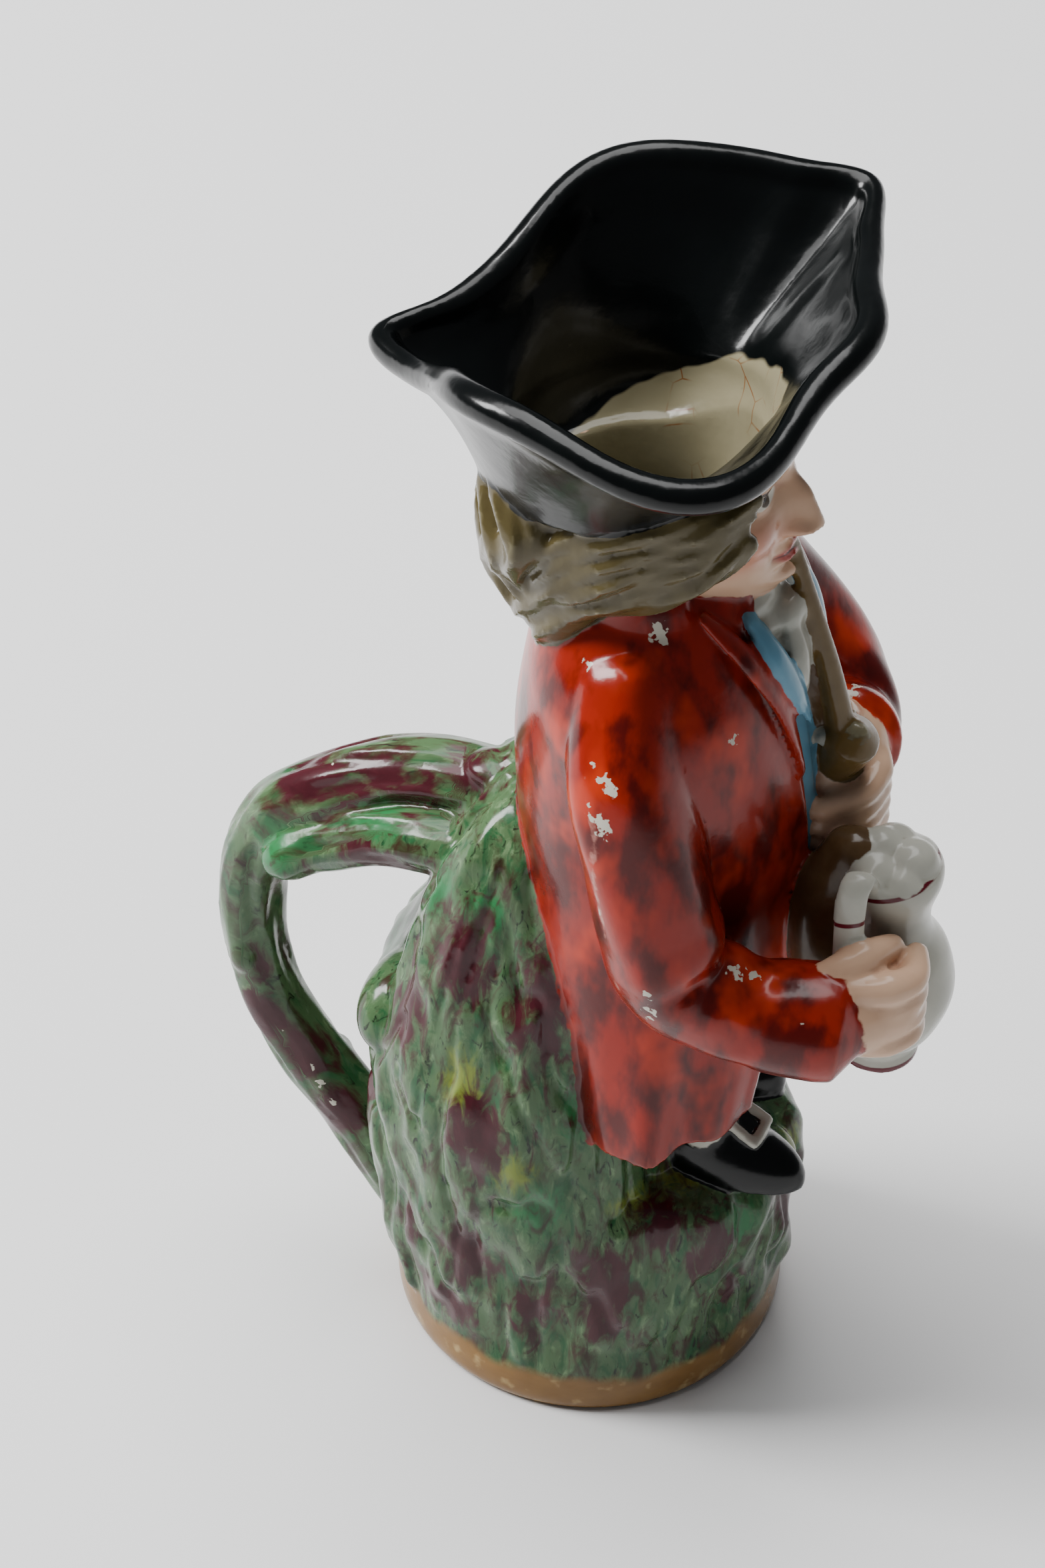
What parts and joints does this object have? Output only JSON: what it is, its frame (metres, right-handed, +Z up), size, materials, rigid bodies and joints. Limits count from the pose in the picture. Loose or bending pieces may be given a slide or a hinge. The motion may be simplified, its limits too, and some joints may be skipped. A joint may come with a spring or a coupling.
{
  "type": "toby jug",
  "caption": "Glazed earthenware toby jug: a standing man in a tricorn hat that is the jug's mouth, with a pipe, an ale jug and a branch handle on a rocky foot.",
  "frame": {"origin": "centre of the flat underside of the foot", "axes": "+Z up, -Y the way the man faces, +X to the man's left; the handle is at +Y"},
  "size_m": [0.1126, 0.1732, 0.297],
  "materials": {
    "glazed_earthenware": "gloss"
  },
  "bodies": {
    "root": {"toby_jug": "glazed_earthenware"}
  },
  "joints": []
}
